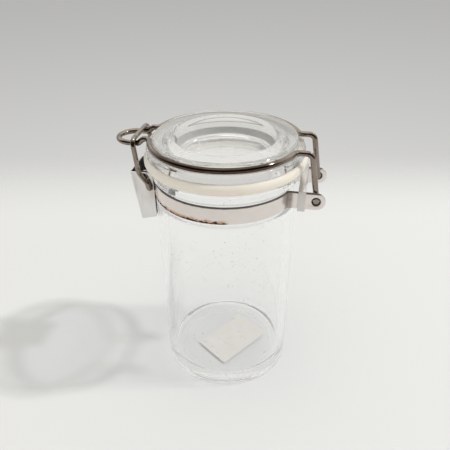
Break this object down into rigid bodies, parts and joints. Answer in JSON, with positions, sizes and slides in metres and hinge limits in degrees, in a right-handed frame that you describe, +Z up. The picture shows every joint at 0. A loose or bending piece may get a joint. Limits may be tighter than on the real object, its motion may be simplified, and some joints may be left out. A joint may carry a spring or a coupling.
{
  "type": "lidded glass canister",
  "caption": "Small round glass canister with a hinged glass lid, a soft sealing ring and a steel wire clip whose lever pulls the lid down tight.",
  "frame": {"origin": "centre of the base ring, on the plane the canister stands on", "axes": "+Z up along the canister's axis, -Y towards the latch, +Y towards the lid hinge, X along the hinge and latch axes"},
  "size_m": [0.0582, 0.0771, 0.1012],
  "materials": {
    "clear_glass": "clear, smooth, with a few seed bubbles",
    "lid_glass": "clear, pressed, smooth",
    "cream_silicone": "soft satin, slightly translucent",
    "sheet_steel": "bright stainless sheet, slightly worn, a little rust on the lower front edge",
    "lever_steel": "bright pressed stainless sheet",
    "wire_steel": "polished drawn wire, darkened with age",
    "label_paper": "plain matte, blank"
  },
  "bodies": {
    "jar": {"jar_body": "clear_glass", "base_label": "label_paper", "neck_band": "sheet_steel", "hinge_bridge": "sheet_steel", "latch_bracket": "sheet_steel", "lever_pin": "wire_steel"},
    "lid": {"glass_lid": "lid_glass", "sealing_ring": "cream_silicone", "lid_wire": "wire_steel"},
    "lever": {"lever": "lever_steel"},
    "bail": {"bail_wire": "wire_steel"}
  },
  "joints": [
    {"name": "lid_hinge", "type": "hinge", "parent": "jar", "child": "lid", "pos_m": [0, 0.0334, 0.08285], "axis": [-1, 0, 0], "range_deg": [0, 200]},
    {"name": "lever_pivot", "type": "hinge", "parent": "jar", "child": "lever", "pos_m": [0, -0.0289, 0.0854], "axis": [-1, 0, 0], "range_deg": [0, 90]},
    {"name": "bail_pivot", "type": "hinge", "parent": "lever", "child": "bail", "pos_m": [0, -0.027, 0.0807], "axis": [-1, 0, 0], "range_deg": [-67.5, 0]}
  ],
  "couplings": [
    {"joint": "bail_pivot", "follows": "lever_pivot", "ratio": -0.75}
  ]
}
